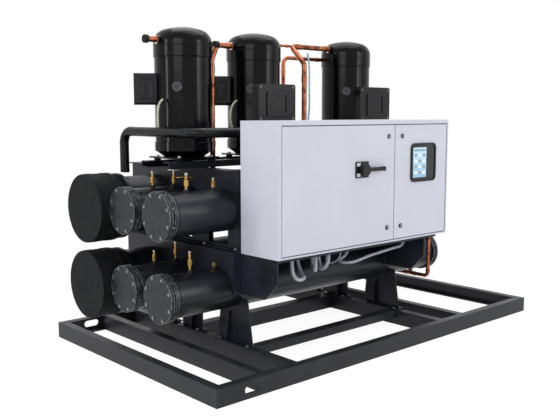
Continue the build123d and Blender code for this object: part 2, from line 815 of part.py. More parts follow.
# Operator screen on the right door: a rounded frame around a glass panel
screen_mid = ((screen_left + screen_right) / 2, (screen_bottom + screen_top) / 2)
screen_width = screen_right - screen_left
screen_height = screen_top - screen_bottom
with BuildPart() as screen_frame:
    with BuildSketch(Plane.XZ.offset(-door_face_y)):
        with Locations(screen_mid):
            RectangleRounded(screen_width, screen_height, screen_corner)
            RectangleRounded(
                screen_width - 2 * screen_border, screen_height - 2 * screen_border,
                screen_corner - screen_border / 2, mode=Mode.SUBTRACT,
            )
    extrude(amount=screen_frame_thickness)
write(screen_frame, "screen_frame")
with BuildPart() as screen_glass:
    with BuildSketch(Plane.XZ.offset(-door_face_y)):
        with Locations(screen_mid):
            RectangleRounded(
                screen_width - 2 * screen_border, screen_height - 2 * screen_border,
                screen_corner - screen_border / 2,
            )
    extrude(amount=screen_glass_thickness)
write(screen_glass, "screen_glass")

# Suction header: out of the upper rear vessel, forward past compressor 1 and along
# behind the cabinet, with a branch to each compressor
with BuildPart() as suction_header:
    header_points = [
        (header_x, rear_column_y, rear_upper_z),
        (header_x, rear_column_y, header_top_z),
        (header_x, header_front_y, header_top_z),
        (header_end_x, header_front_y, header_top_z),
    ]
    sweep_tube(header_points, header_radius, header_bend)
    with BuildSketch(Plane.XZ.offset(-header_front_y)):
        for place_x in compressor_places:
            with Locations((place_x, header_top_z)):
                Circle(branch_radius)
    extrude(amount=header_front_y - compressor_y)
    for compressor_body in compressors:
        add(compressor_body, mode=Mode.SUBTRACT)
    trim_to_vessel(rear_column_y, rear_upper_z, rear_cap_radius)
write(suction_header, "suction_header")

# Discharge pipes: a capped stub on compressor 1, a riser from compressor 2 down to
# the middle vessel, and a longer one from compressor 3 with a thin line to compressor 2
outlet_zs = [compressor_top_z - outlet_drop for outlet_drop in outlet_drops]
outlet_xs = [place_x - compressor_cap_radius - outlet_reach for place_x in compressor_places]
with BuildPart() as discharge_stub:
    for far_x, near_x, radius in (
        (stub_end_x, outlet_xs[0], pipe_radius),
        (stub_end_x, stub_end_x + stub_cap_length, stub_cap_radius),
    ):
        with BuildSketch(Plane.YZ.offset(far_x)):
            with Locations((compressor_y, outlet_zs[0])):
                Circle(radius)
        extrude(amount=near_x - far_x)
write(discharge_stub, "discharge_stub")

with BuildPart() as discharge_pipe_2:
    riser_points = [
        (outlet_xs[1], compressor_y, outlet_zs[1]),
        (riser_knee_x, compressor_y, outlet_zs[1]),
        (riser_x, compressor_y, riser_knee_z),
        (riser_x, compressor_y, upper_row_z),
    ]
    sweep_tube(riser_points, pipe_radius, riser_knee_bend)
    trim_to_vessel(middle_column_y, upper_row_z, shell_radius)
write(discharge_pipe_2, "discharge_pipe_2")

drop_return_low_z = drop_return_z - (drop_return_y - drop_front_y)
with BuildPart() as discharge_pipe_3:
    drop_points = [
        (outlet_xs[2], compressor_y, outlet_zs[2]),
        (drop_x, compressor_y, outlet_zs[2]),
        (drop_x, drop_front_y, drop_knee_z),
        (drop_x, drop_front_y, drop_return_z),
        (drop_x, drop_return_y, drop_return_low_z),
        (drop_x, drop_return_y, upper_row_z),
    ]
    sweep_tube(drop_points, pipe_radius, drop_bend)
    thin_start_x = drop_x + drop_bend
    with BuildSketch(Plane.YZ.offset(thin_start_x)):
        with Locations((compressor_y, outlet_zs[2])):
            Circle(thin_pipe_radius)
    extrude(amount=compressor_places[1] - thin_start_x)
    add(compressors[1], mode=Mode.SUBTRACT)
    trim_to_vessel(middle_column_y, upper_row_z, shell_radius)
write(discharge_pipe_3, "discharge_pipe_3")

# Return line from the back of compressor 3 down to the upper rear vessel
with BuildPart() as return_pipe:
    return_points = [
        (compressor_places[2], return_y, return_z),
        (return_x, return_y, return_z),
        (return_x, return_y, rear_upper_z),
    ]
    sweep_tube(return_points, small_pipe_radius, return_bend)
    add(compressors[2], mode=Mode.SUBTRACT)
    trim_to_vessel(rear_column_y, rear_upper_z, rear_shell_radius)
write(return_pipe, "return_pipe")

# Liquid line: from the upper front vessel down its front and up into both lower ones
with BuildPart() as liquid_pipe:
    liquid_points = [
        (liquid_x, front_column_y, upper_row_z),
        (liquid_x, liquid_front_y, upper_row_z),
        (liquid_x, liquid_front_y, liquid_low_z),
        (liquid_x, middle_column_y, liquid_low_z),
        (liquid_x, middle_column_y, lower_row_z),
    ]
    sweep_tube(liquid_points, small_pipe_radius, liquid_bend)
    with BuildSketch(Plane.XY.offset(liquid_low_z)):
        with Locations((liquid_x, front_column_y)):
            Circle(small_pipe_radius)
    extrude(amount=lower_row_z - liquid_low_z)
    trim_to_vessel(front_column_y, upper_row_z, shell_radius)
    trim_to_vessel(front_column_y, lower_row_z, shell_radius)
    trim_to_vessel(middle_column_y, lower_row_z, shell_radius)
write(liquid_pipe, "liquid_pipe")

# Service valves: a thin stem with a thicker body on the top of each slim vessel
valve_rows = [
    (middle_column_y, upper_row_z, upper_middle_valves),
    (front_column_y, upper_row_z, upper_front_valves),
    (middle_column_y, lower_row_z, lower_middle_valves),
    (front_column_y, lower_row_z, lower_front_valves),
]
with BuildPart() as service_valves:
    for axis_y, axis_z, valves in valve_rows:
        vessel_top = axis_z + shell_radius
        for valve_x, stem_height in valves:
            with BuildSketch(Plane.XY.offset(vessel_top)):
                with Locations((valve_x, axis_y)):
                    Circle(stem_radius)
            extrude(amount=stem_height)
            with BuildSketch(Plane.XY.offset(vessel_top + valve_share * stem_height - valve_length / 2)):
                with Locations((valve_x, axis_y)):
                    RegularPolygon(valve_radius, 6)
            extrude(amount=valve_length)
write(service_valves, "service_valves")

# Conduits, a cable loop and a wire bundle that hang under the cabinet
cords = [
    ("conduit_1", conduit_1_route, conduit_diameter),
    ("conduit_2", conduit_2_route, conduit_diameter),
    ("conduit_3", conduit_3_route, conduit_diameter),
    ("cable_loop", cable_loop_route, loop_diameter),
    ("wire_bundle", wire_bundle_route, bundle_diameter),
]
for node, route, diameter in cords:
    runs = [Vector(end) - Vector(start) for start, end in zip(route, route[1:])]
    bends = [
        cord_bend_share * min(run.length, following.length) / tan(radians(run.get_angle(following) / 2))
        for run, following in zip(runs, runs[1:])
    ]
    with BuildPart() as cord:
        sweep_tube(route, diameter / 2, bends)
    write(cord, node)
    length = cord.part.volume / (Circle(diameter / 2, mode=Mode.PRIVATE).area)
    print(node, "bend radii", [round(bend) for bend in bends], "length", round(length))
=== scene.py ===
"""Looks of the water-cooled chiller: finishes for its CAD parts, and the fasteners, hoses
and fittings that the CAD model leaves out."""

import math

import bmesh
import bpy
from mathutils import Matrix, Vector


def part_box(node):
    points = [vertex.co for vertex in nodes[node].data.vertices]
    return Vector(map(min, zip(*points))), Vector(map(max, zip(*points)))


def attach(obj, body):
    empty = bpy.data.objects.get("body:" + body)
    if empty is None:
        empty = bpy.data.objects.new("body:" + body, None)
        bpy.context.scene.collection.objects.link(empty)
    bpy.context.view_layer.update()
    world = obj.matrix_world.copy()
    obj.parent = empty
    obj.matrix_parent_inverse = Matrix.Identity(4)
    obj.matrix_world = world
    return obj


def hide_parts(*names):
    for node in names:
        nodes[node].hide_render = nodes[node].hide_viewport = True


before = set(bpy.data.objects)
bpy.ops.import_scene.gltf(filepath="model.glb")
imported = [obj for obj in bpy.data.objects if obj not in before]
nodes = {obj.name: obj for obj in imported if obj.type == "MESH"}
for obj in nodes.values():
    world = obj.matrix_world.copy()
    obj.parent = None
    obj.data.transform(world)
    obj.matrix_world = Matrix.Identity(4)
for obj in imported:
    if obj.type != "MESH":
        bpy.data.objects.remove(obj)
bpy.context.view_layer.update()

# Camera: a 50 mm lens on a full-frame camera, a little over a metre above the floor,
# off the front left corner of the skid and tipped slightly down.
camera_data = bpy.data.cameras.new("camera")
camera_data.lens = 49.67
camera_data.sensor_width = 36
camera = bpy.data.objects.new("camera", camera_data)
camera.location = (-2.969, -3.049, 1.1755)
camera.rotation_euler = (math.radians(82.86), 0, math.radians(-42.27))
bpy.context.collection.objects.link(camera)
bpy.context.scene.camera = camera

# Conduits: light grey corrugated nylon hose, limp, that leaves the underside of the
# cabinet, sags and turns up into the cable tray behind.


def srgb(code):
    """A hex colour as Blender's linear red, green, blue and alpha."""
    channels = [int(code[i:i + 2], 16) / 255 for i in (1, 3, 5)]
    return [c / 12.92 if c <= 0.04045 else ((c + 0.055) / 1.055) ** 2.4 for c in channels] + [1]


def add(tree, kind, inputs=None, **settings):
    """Add a node to a tree; inputs are values, or sockets to link, by name or number."""
    node = tree.nodes.new(kind)
    for name, value in settings.items():
        setattr(node, name, value)
    for key, value in (inputs or {}).items():
        socket = node.inputs[key]
        if isinstance(value, bpy.types.NodeSocket):
            tree.links.new(value, socket)
        elif value is not None:
            socket.default_value = value
    return node


def new_material(name, base, roughness, metallic=0.0, **shader_inputs):
    """A material with a Principled shader; returns it, its tree and its shader."""
    material = bpy.data.materials.new(name)
    material.use_nodes = True
    tree = material.node_tree
    shader = tree.nodes["Principled BSDF"]
    shader.inputs["Base Color"].default_value = srgb(base)
    shader.inputs["Roughness"].default_value = roughness
    shader.inputs["Metallic"].default_value = metallic
    for socket, value in shader_inputs.items():
        shader.inputs[socket.replace("_", " ")].default_value = value
    return material, tree, shader


def mottle(tree, shader, dark, light, scale, roughness, contrast=(0.35, 0.65)):
    """Vary colour and roughness softly; scale is in blotches per metre."""
    place = add(tree, "ShaderNodeTexCoord").outputs["Object"]
    noise = add(tree, "ShaderNodeTexNoise", {"Vector": place, "Scale": scale, "Detail": 5.0, "Roughness": 0.6})
    spread = add(
        tree, "ShaderNodeMapRange",
        {"Value": noise.outputs["Fac"], "From Min": contrast[0], "From Max": contrast[1]},
    )
    blend = add(
        tree, "ShaderNodeMix", {0: spread.outputs[0], 6: srgb(dark), 7: srgb(light)}, data_type="RGBA"
    )
    tree.links.new(blend.outputs[2], shader.inputs["Base Color"])
    gloss = add(
        tree, "ShaderNodeMapRange",
        {"Value": noise.outputs["Fac"], "From Min": contrast[0], "From Max": contrast[1],
         "To Min": roughness[0], "To Max": roughness[1]},
    )
    tree.links.new(gloss.outputs[0], shader.inputs["Roughness"])
    return place


def grain(tree, shader, place, size, height):
    """A fine raised grain of the given size and height, both in metres."""
    noise = add(tree, "ShaderNodeTexNoise", {"Vector": place, "Scale": 1 / size, "Detail": 2.0})
    bump = add(
        tree, "ShaderNodeBump", {"Height": noise.outputs["Fac"], "Strength": 1.0, "Distance": height}
    )
    tree.links.new(bump.outputs[0], shader.inputs["Normal"])


def finish_nodes(material, *names):
    """Give CAD nodes a better material in their own slots."""
    for name in names:
        for slot in nodes[name].material_slots:
            slot.material = material


conduit_plastic, tree, shader = new_material("light_grey_nylon", "#aeb2bc", 0.5)
grain(tree, shader, mottle(tree, shader, "#a2a6b1", "#bcc0ca", 60, (0.42, 0.58)), 0.0015, 0.0002)
conduit_routes = {
    "conduit_1": [
        (-0.551, -0.470, 0.529), (-0.551, -0.470, 0.478), (-0.545, -0.470, 0.427), (-0.508, -0.468, 0.393),
        (-0.456, -0.460, 0.396), (-0.424, -0.410, 0.400), (-0.396, -0.362, 0.412), (-0.384, -0.334, 0.450),
        (-0.384, -0.334, 0.489),
    ],
    "conduit_2": [
        (-0.405, -0.480, 0.529), (-0.405, -0.480, 0.486), (-0.402, -0.477, 0.444), (-0.382, -0.455, 0.420),
        (-0.344, -0.412, 0.424), (-0.302, -0.358, 0.418), (-0.286, -0.334, 0.450), (-0.286, -0.334, 0.489),
    ],
    "conduit_3": [
        (-0.315, -0.480, 0.529), (-0.315, -0.480, 0.488), (-0.315, -0.473, 0.449), (-0.314, -0.444, 0.422),
        (-0.296, -0.406, 0.414), (-0.254, -0.362, 0.416), (-0.240, -0.334, 0.450), (-0.240, -0.334, 0.489),
    ],
}
conduit_diameter = 0.019
corrugation_pitch = 0.004
corrugation_depth = 0.0012


def route_curve(name, points):
    """A smooth spline with the route's points as its control points."""
    curve = bpy.data.curves.new(name, "CURVE")
    curve.dimensions = "3D"
    curve.resolution_u = 24
    spline = curve.splines.new("NURBS")
    spline.points.add(len(points) - 1)
    for control, place in zip(spline.points, points):
        control.co = (*place, 1)
    spline.order_u = 3
    spline.use_endpoint_u = True
    piece = bpy.data.objects.new(name, curve)
    bpy.context.collection.objects.link(piece)
    return piece


def route_line(piece):
    """The points along a route's spline, and its length."""
    line = bpy.data.meshes.new_from_object(piece.evaluated_get(bpy.context.evaluated_depsgraph_get()))
    points = [vertex.co.copy() for vertex in line.vertices]
    return points, sum((b - a).length for a, b in zip(points, points[1:]))


def as_mesh(piece, tree, values):
    """Run a Geometry Nodes tree on a piece and return its result as a plain mesh object."""
    modifier = piece.modifiers.new("shape", "NODES")
    modifier.node_group = tree
    for item in tree.interface.items_tree:
        if item.in_out == "INPUT" and item.name in values:
            modifier[item.identifier] = values[item.name]
    bpy.context.view_layer.update()
    graph = bpy.context.evaluated_depsgraph_get()
    mesh = bpy.data.meshes.new_from_object(piece.evaluated_get(graph), depsgraph=graph)
    name = piece.name
    old_data = piece.data
    bpy.data.objects.remove(piece)
    if old_data.users == 0 and isinstance(old_data, bpy.types.Mesh):
        bpy.data.meshes.remove(old_data)
    result = bpy.data.objects.new(name, mesh)
    bpy.context.collection.objects.link(result)
    return result


def geometry_tree(name, inputs):
    """An empty Geometry Nodes tree with a geometry input and output and named inputs."""
    tree = bpy.data.node_groups.new(name, "GeometryNodeTree")
    tree.interface.new_socket("Geometry", in_out="INPUT", socket_type="NodeSocketGeometry")
    for label, kind in inputs:
        tree.interface.new_socket(label, in_out="INPUT", socket_type=f"NodeSocket{kind}")
    tree.interface.new_socket("Geometry", in_out="OUTPUT", socket_type="NodeSocketGeometry")
    start = tree.nodes.new("NodeGroupInput")
    end = tree.nodes.new("NodeGroupOutput")
    return tree, start.outputs, end.inputs[0]


corrugated, given, result = geometry_tree(
    "corrugated_hose", [("Diameter", "Float"), ("Pitch", "Float"), ("Depth", "Float"), ("Finish", "Material")]
)
quarter = add(corrugated, "ShaderNodeMath", {0: given["Pitch"], 1: 0.25}, operation="MULTIPLY")
even = add(corrugated, "GeometryNodeResampleCurve", {"Curve": given["Geometry"], "Length": quarter.outputs[0]},
           mode="LENGTH")
along = add(corrugated, "GeometryNodeSplineParameter")
turns = add(corrugated, "ShaderNodeMath", {0: along.outputs["Length"], 1: given["Pitch"]}, operation="DIVIDE")
angle = add(corrugated, "ShaderNodeMath", {0: turns.outputs[0], 1: math.tau}, operation="MULTIPLY")
wave = add(corrugated, "ShaderNodeMath", {0: angle.outputs[0]}, operation="COSINE")
half_depth = add(corrugated, "ShaderNodeMath", {0: given["Depth"], 1: 0.5}, operation="MULTIPLY")
half_width = add(corrugated, "ShaderNodeMath", {0: given["Diameter"], 1: 0.5}, operation="MULTIPLY")
middle = add(corrugated, "ShaderNodeMath", {0: half_width.outputs[0], 1: half_depth.outputs[0]},
             operation="SUBTRACT")
radius = add(corrugated, "ShaderNodeMath",
             {0: wave.outputs[0], 1: half_depth.outputs[0], 2: middle.outputs[0]}, operation="MULTIPLY_ADD")
ring = add(corrugated, "GeometryNodeCurvePrimitiveCircle", {"Resolution": 14, "Radius": 1.0})
tube = add(corrugated, "GeometryNodeCurveToMesh",
           {"Curve": even.outputs[0], "Profile Curve": ring.outputs["Curve"], "Scale": radius.outputs[0],
            "Fill Caps": True})
smooth = add(corrugated, "GeometryNodeSetShadeSmooth", {"Geometry": tube.outputs[0], "Shade Smooth": True})
painted = add(corrugated, "GeometryNodeSetMaterial", {0: smooth.outputs[0], "Material": given["Finish"]})
corrugated.links.new(painted.outputs[0], result)

for name, points in conduit_routes.items():
    hose = route_curve(f"{name}_hose", points)
    line, length = route_line(hose)
    hose = as_mesh(hose, corrugated, {
        "Diameter": conduit_diameter, "Pitch": corrugation_pitch, "Depth": corrugation_depth,
        "Finish": conduit_plastic,
    })
    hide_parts(name)
    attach(hose, "chiller")

# Thin control cable and the wire bundle: a grey cable that loops out of the cabinet
# and back, and a bundle of grey wires that folds over and runs along under the doors.
wire_grey, tree, shader = new_material("grey_cable_sheath", "#9ea1ac", 0.45)
grain(tree, shader, mottle(tree, shader, "#8d909b", "#aeb1bb", 80, (0.38, 0.55)), 0.002, 0.0001)
loop_diameter = 0.008
loop_route = [
    (-0.228, -0.480, 0.529), (-0.228, -0.480, 0.496), (-0.231, -0.470, 0.464), (-0.241, -0.444, 0.442),
    (-0.243, -0.408, 0.436), (-0.222, -0.376, 0.440), (-0.205, -0.350, 0.442), (-0.176, -0.334, 0.455),
    (-0.176, -0.334, 0.489),
]
bundle_diameter = 0.014
bundle_route = [
    (-0.120, -0.430, 0.529), (-0.120, -0.430, 0.490), (-0.146, -0.430, 0.462), (-0.187, -0.432, 0.450),
    (-0.212, -0.450, 0.447), (-0.222, -0.480, 0.446), (-0.212, -0.510, 0.447), (-0.187, -0.528, 0.450),
    (-0.135, -0.525, 0.456), (-0.050, -0.512, 0.464), (0.060, -0.498, 0.468), (0.170, -0.488, 0.474),
    (0.224, -0.482, 0.474), (0.246, -0.482, 0.484), (0.259, -0.482, 0.504), (0.259, -0.482, 0.529),
]
for name, points, diameter in (
    ("cable_loop", loop_route, loop_diameter),
    ("wire_bundle", bundle_route, bundle_diameter),
):
    cable = route_curve(f"{name}_cable", points)
    length = route_line(cable)[1]
    cable.data.bevel_depth = diameter / 2
    cable.data.bevel_resolution = 3
    cable.data.use_fill_caps = True
    cable.data.materials.append(wire_grey)
    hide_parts(name)
    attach(cable, "chiller")

# Skid: hot-rolled channel under satin dark grey paint, with a faint orange-peel
# skin and a little dust that lightens it in patches.
skid_paint, tree, shader = new_material("satin_grey_paint_on_channel", "#2c2d32", 0.4, Specular_IOR_Level=0.25)
grain(tree, shader, mottle(tree, shader, "#1f2025", "#2c2d33", 7, (0.34, 0.46)), 0.004, 0.00015)
finish_nodes(skid_paint, "front_rail", "back_rail", "left_end_rail", "right_end_rail", "cross_beams",
             "front_tie", "back_tie")

# Legs and saddles: plate steel cut, welded and bolted, in the same dark paint but
# smoother, with a slight sheen.
plate_paint, tree, shader = new_material("satin_dark_paint_on_plate", "#212227", 0.36, Specular_IOR_Level=0.25)
grain(tree, shader, mottle(tree, shader, "#17181d", "#222430", 6, (0.3, 0.42)), 0.003, 0.0001)
finish_nodes(plate_paint, "left_legs", "right_legs", "left_lower_support", "right_lower_support",
             "left_upper_support", "right_upper_support", "compressor_bearers", "cabinet_bearer",
             "cable_tray")

# Bolts: zinc-plated hex heads on washers, made once by a node tree and set on every
# bolted joint, facing the way that the joint faces.
zinc, tree, shader = new_material("zinc_plated_steel", "#b8bac0", 0.35, metallic=1.0)
mottle(tree, shader, "#9fa1a8", "#c8cad0", 300, (0.25, 0.5))
dull_zinc, tree, shader = new_material("dull_zinc_on_old_bolts", "#85878e", 0.4, metallic=1.0)
mottle(tree, shader, "#5d5f66", "#b4b6bd", 240, (0.3, 0.5))

hex_bolts, given, result = geometry_tree("hex_bolts", [("Across Flats", "Float"), ("Finish", "Material")])
head_radius = add(hex_bolts, "ShaderNodeMath", {0: given["Across Flats"], 1: 0.577}, operation="MULTIPLY")
head_height = add(hex_bolts, "ShaderNodeMath", {0: given["Across Flats"], 1: 0.4}, operation="MULTIPLY")
washer_radius = add(hex_bolts, "ShaderNodeMath", {0: given["Across Flats"], 1: 0.75}, operation="MULTIPLY")
washer_height = add(hex_bolts, "ShaderNodeMath", {0: given["Across Flats"], 1: 0.2}, operation="MULTIPLY")
head = add(hex_bolts, "GeometryNodeMeshCylinder",
           {"Vertices": 6, "Radius": head_radius.outputs[0], "Depth": head_height.outputs[0]})
washer = add(hex_bolts, "GeometryNodeMeshCylinder",
             {"Vertices": 20, "Radius": washer_radius.outputs[0], "Depth": washer_height.outputs[0]})
lift = add(hex_bolts, "ShaderNodeCombineXYZ", {"Z": washer_height.outputs[0]})
raised = add(hex_bolts, "GeometryNodeTransform", {"Geometry": head.outputs[0], "Translation": lift.outputs[0]})
bolt = add(hex_bolts, "GeometryNodeJoinGeometry", {0: washer.outputs[0]})
hex_bolts.links.new(raised.outputs[0], bolt.inputs[0])
facing = add(hex_bolts, "GeometryNodeInputNamedAttribute", {"Name": "facing"}, data_type="FLOAT_VECTOR")
turned_to = add(hex_bolts, "FunctionNodeAlignRotationToVector", {"Vector": facing.outputs[0]}, axis="Z")
placed = add(hex_bolts, "GeometryNodeInstanceOnPoints",
             {"Points": given["Geometry"], "Instance": bolt.outputs[0], "Rotation": turned_to.outputs[0]})
joined = add(hex_bolts, "GeometryNodeRealizeInstances", {0: placed.outputs[0]})
plated = add(hex_bolts, "GeometryNodeSetMaterial", {0: joined.outputs[0], "Material": given["Finish"]})
hex_bolts.links.new(plated.outputs[0], result)


def set_bolts(name, body, size, places, finish=zinc):
    """One piece of hex bolts; places are (point, direction the head faces)."""
    mesh = bpy.data.meshes.new(name)
    mesh.from_pydata([point for point, _ in places], [], [])
    directions = mesh.attributes.new("facing", "FLOAT_VECTOR", "POINT")
    for item, (_, direction) in zip(directions.data, places):
        item.vector = direction
    points = bpy.data.objects.new(name, mesh)
    bpy.context.collection.objects.link(points)
    bolts = as_mesh(points, hex_bolts, {"Across Flats": size, "Finish": finish})
    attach(bolts, body)
    return bolts


left, right, up, down = (-1, 0, 0), (1, 0, 0), (0, 0, 1), (0, 0, -1)
foot_bolts = []
for legs in ("left_legs", "right_legs"):
    low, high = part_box(legs)
    middle_x = (low[0] + high[0]) / 2
    for near_y, far_y in ((-0.364, -0.105), (0.030, 0.200), (0.256, 0.496)):
        for y in (near_y + 0.025, far_y - 0.025):
            for side in (-1, 1):
                foot_bolts.append(((middle_x + side * 0.016, y, low[2] + 0.008), up))
set_bolts("foot_bolts", "chiller", 0.013, foot_bolts, dull_zinc)

saddle_bolts = []
for support in ("left_upper_support", "right_upper_support"):
    low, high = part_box(support)
    for x in (low[0] + 0.010, high[0] - 0.010):
        for y in (-0.285, -0.047, 0.22, 0.54):
            saddle_bolts.append(((x, y, low[2] + 0.006), up))
            saddle_bolts.append(((x, y, low[2] - 0.006), down))
set_bolts("saddle_bolts", "chiller", 0.014, saddle_bolts, dull_zinc)

# Slim vessels: seamless steel tube in satin dark grey enamel, one weld bead beside
# each bolting ring, closed by cast covers whose paint is mottled and rubbed at the rim;
# the rim beads also carry a painted highlight, light steel along every rim edge.
vessel_enamel, tree, shader = new_material("satin_dark_enamel", "#1d1f24", 0.33, Specular_IOR_Level=0.3)
grain(tree, shader, mottle(tree, shader, "#14161b", "#1d2028", 5, (0.28, 0.4)), 0.005, 0.0001)
slim_vessels = ["front_upper_vessel", "front_lower_vessel", "middle_upper_vessel", "middle_lower_vessel"]
finish_nodes(vessel_enamel, *slim_vessels)
cover_paint, tree, shader = new_material("worn_paint_on_cast_steel", "#2d2e32", 0.5, Specular_IOR_Level=0.25)
grain(tree, shader, mottle(tree, shader, "#18191d", "#33353b", 34, (0.36, 0.6), (0.38, 0.66)), 0.003, 0.0005)
finish_nodes(cover_paint, *[f"{vessel}_covers" for vessel in slim_vessels])


def turned(shape, profile, origin, axis, sides=32, closed=False):
    """Add a turned form; profile is (distance along the axis, radius), closed for a ring."""
    turn = Vector((0, 0, 1)).rotation_difference(Vector(axis)).to_matrix().to_4x4()
    place = Matrix.Translation(origin) @ turn
    angles = [math.tau * step / sides for step in range(sides)]
    rings = [
        [shape.verts.new(place @ Vector((radius * math.cos(a), radius * math.sin(a), along))) for a in angles]
        for along, radius in profile
    ]
    pairs = list(zip(rings, rings[1:])) + ([(rings[-1], rings[0])] if closed else [])
    for one, other in pairs:
        for i in range(sides):
            j = (i + 1) % sides
            shape.faces.new((one[i], one[j], other[j], other[i]))
    if not closed:
        shape.faces.new(rings[0])
        shape.faces.new(rings[-1])


def block(shape, low, high, edge=0.001, segments=2):
    """Add a block with rounded edges between two corners."""
    size = Vector(high) - Vector(low)
    place = Matrix.Translation((Vector(low) + Vector(high)) / 2) @ Matrix.Diagonal((*size, 1))
    corners = bmesh.ops.create_cube(shape, size=1, matrix=place)["verts"]
    edges = {line for corner in corners for line in corner.link_edges}
    bmesh.ops.bevel(shape, geom=list(edges), offset=edge, segments=segments, affect="EDGES")


def finished(shape, name, material, body, smooth_under=35):
    """Turn a bmesh into a piece that rides on a body."""
    bmesh.ops.recalc_face_normals(shape, faces=shape.faces)
    mesh = bpy.data.meshes.new(name)
    shape.to_mesh(mesh)
    shape.free()
    mesh.materials.append(material)
    mesh.shade_smooth()
    mesh.set_sharp_from_angle(angle=math.radians(smooth_under))
    piece = bpy.data.objects.new(name, mesh)
    bpy.context.collection.objects.link(piece)
    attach(piece, body)
    return piece


def bead(shape, origin, axis, radius, size):
    """Add a half-round weld bead around a round part."""
    steps = [math.radians(angle) for angle in range(0, 181, 30)]
    profile = [(size * math.cos(a), radius + size * math.sin(a) * 0.7) for a in steps]
    turned(shape, profile + [(-size, radius - 0.001), (size, radius - 0.001)], origin, axis, 64, closed=True)


# Light steel beads on every cover and flange edge: partly rubbed paint, partly a painted highlight of the rim
# edges.
rim_wear_and_painted_highlight, tree, shader = new_material("paint_rubbed_to_steel_and_painted_rim_highlight", "#6d6f76", 0.42, metallic=0.6)
mottle(tree, shader, "#2c2d32", "#9b9da5", 70, (0.34, 0.5), (0.38, 0.62))
cover_bolts = []
bolt_circle = 0.0985
bolts_per_cover = 8
welds = bmesh.new()
rims = bmesh.new()
for vessel in slim_vessels:
    low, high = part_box(f"{vessel}_covers")
    axis_y, axis_z = (low[1] + high[1]) / 2, (low[2] + high[2]) / 2
    rim_radius = (high[1] - low[1]) / 2
    for turn in range(bolts_per_cover):
        angle = math.tau * (turn + 0.5) / bolts_per_cover
        y, z = axis_y + bolt_circle * math.cos(angle), axis_z + bolt_circle * math.sin(angle)
        cover_bolts += [((low[0], y, z), left), ((high[0], y, z), right)]
    for x, inward in ((low[0], 1), (high[0], -1)):
        bead(welds, (x + inward * 0.060, axis_y, axis_z), (1, 0, 0), 0.1, 0.003)
        for depth in (0.0006, 0.0174, 0.0276, 0.0414):
            bead(rims, (x + inward * depth, axis_y, axis_z), (1, 0, 0), rim_radius, 0.0009)
        for turn in range(bolts_per_cover):
            angle = math.tau * (turn + 0.5) / bolts_per_cover
            reach = rim_radius - 0.004
            y, z = axis_y + reach * math.cos(angle), axis_z + reach * math.sin(angle)
            turned(rims, [(0.017, 0.003), (0.0285, 0.003)], (x, y, z), (inward, 0, 0), 8)
set_bolts("cover_bolts", "chiller", 0.011, cover_bolts, dull_zinc)
finished(welds, "vessel_welds", vessel_enamel, "chiller")
finished(rims, "cover_rims", rim_wear_and_painted_highlight, "chiller")

# Rear vessels: caps under closed-cell rubber foam, matt black with a fine pored skin,
# and strips of the same tape around each cap; the tubes in satin dark enamel.
foam, tree, shader = new_material("closed_cell_rubber_foam", "#151617", 0.75, Specular_IOR_Level=0.15)
grain(tree, shader, mottle(tree, shader, "#111213", "#1c1d1f", 12, (0.62, 0.85)), 0.0025, 0.0005)
finish_nodes(foam, "rear_upper_vessel_caps", "rear_lower_vessel_caps")
shell_enamel, tree, shader = new_material(
    "satin_dark_enamel_on_thick_tube", "#1c1e22", 0.36, Specular_IOR_Level=0.25
)
grain(tree, shader, mottle(tree, shader, "#14151a", "#1d1f26", 5, (0.3, 0.42)), 0.005, 0.0001)
finish_nodes(shell_enamel, "rear_upper_vessel", "rear_lower_vessel")
shape = bmesh.new()
for cap in ("rear_upper_vessel_caps", "rear_lower_vessel_caps"):
    low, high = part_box(cap)
    axis_y, axis_z = (low[1] + high[1]) / 2, (low[2] + high[2]) / 2
    radius = (high[1] - low[1]) / 2
    for x, inward in ((low[0], 1), (high[0], -1)):
        for start in (0.012, 0.100):
            turned(shape, [(start, radius), (start, radius + 0.0014), (start + 0.03, radius + 0.0014),
                           (start + 0.03, radius)], (x, axis_y, axis_z), (inward, 0, 0), 72, closed=True)
finished(shape, "foam_tape", foam, "chiller")

# Compressors: pressed steel shells in gloss black enamel, with a welded seam under the
# dome and one above the base, four bolts through the foot plate and a plugged port.
gloss_enamel, tree, shader = new_material("gloss_black_enamel", "#060608", 0.14, Specular_IOR_Level=0.14)
gloss_enamel_place = mottle(tree, shader, "#050507", "#08080b", 4, (0.12, 0.2))
grain(tree, shader, gloss_enamel_place, 0.02, 0.0001)
compressors = ["compressor_1", "compressor_2", "compressor_3"]
finish_nodes(gloss_enamel, *compressors)
rubber, tree, shader = new_material("black_rubber", "#101011", 0.7, Specular_IOR_Level=0.25)
grain(tree, shader, mottle(tree, shader, "#0d0d0e", "#151516", 90, (0.6, 0.8)), 0.001, 0.0001)
finish_nodes(rubber, "compressor_grommets")
compressor_x = [-0.732, -0.277, 0.435]
compressor_y = 0.120
shell_radius = 0.144
seam_height = 1.448
base_seam_height = 1.034
shape = bmesh.new()
foot_studs = []
for x in compressor_x:
    for z in (seam_height - 0.003, seam_height + 0.052, base_seam_height):
        seam_radius = shell_radius - 0.0005 if z > seam_height else 0.1415
        bead(shape, (x, compressor_y, z), (0, 0, 1), seam_radius, 0.0026)
    for side_x in (-0.095, 0.095):
        for side_y in (-0.095, 0.095):
            foot_studs.append(((x + side_x, compressor_y + side_y, 0.964), up))
finished(shape, "compressor_seams", gloss_enamel, "chiller")
set_bolts("foot_studs", "chiller", 0.016, foot_studs)
nickel, tree, shader = new_material("nickel_plated_brass", "#b9b6ac", 0.28, metallic=1.0)
mottle(tree, shader, "#a5a298", "#cbc8be", 200, (0.2, 0.4))
plug_rubber, tree, shader = new_material("grey_rubber_plug", "#3c3d41", 0.55, Specular_IOR_Level=0.3)
grain(tree, shader, mottle(tree, shader, "#333438", "#4a4b50", 90, (0.45, 0.65)), 0.001, 0.0001)
copper, tree, shader = new_material("dulled_copper", "#9a5638", 0.3, metallic=1.0)
grain(tree, shader, mottle(tree, shader, "#5c2f1f", "#b87355", 22, (0.22, 0.42)), 0.004, 0.0001)
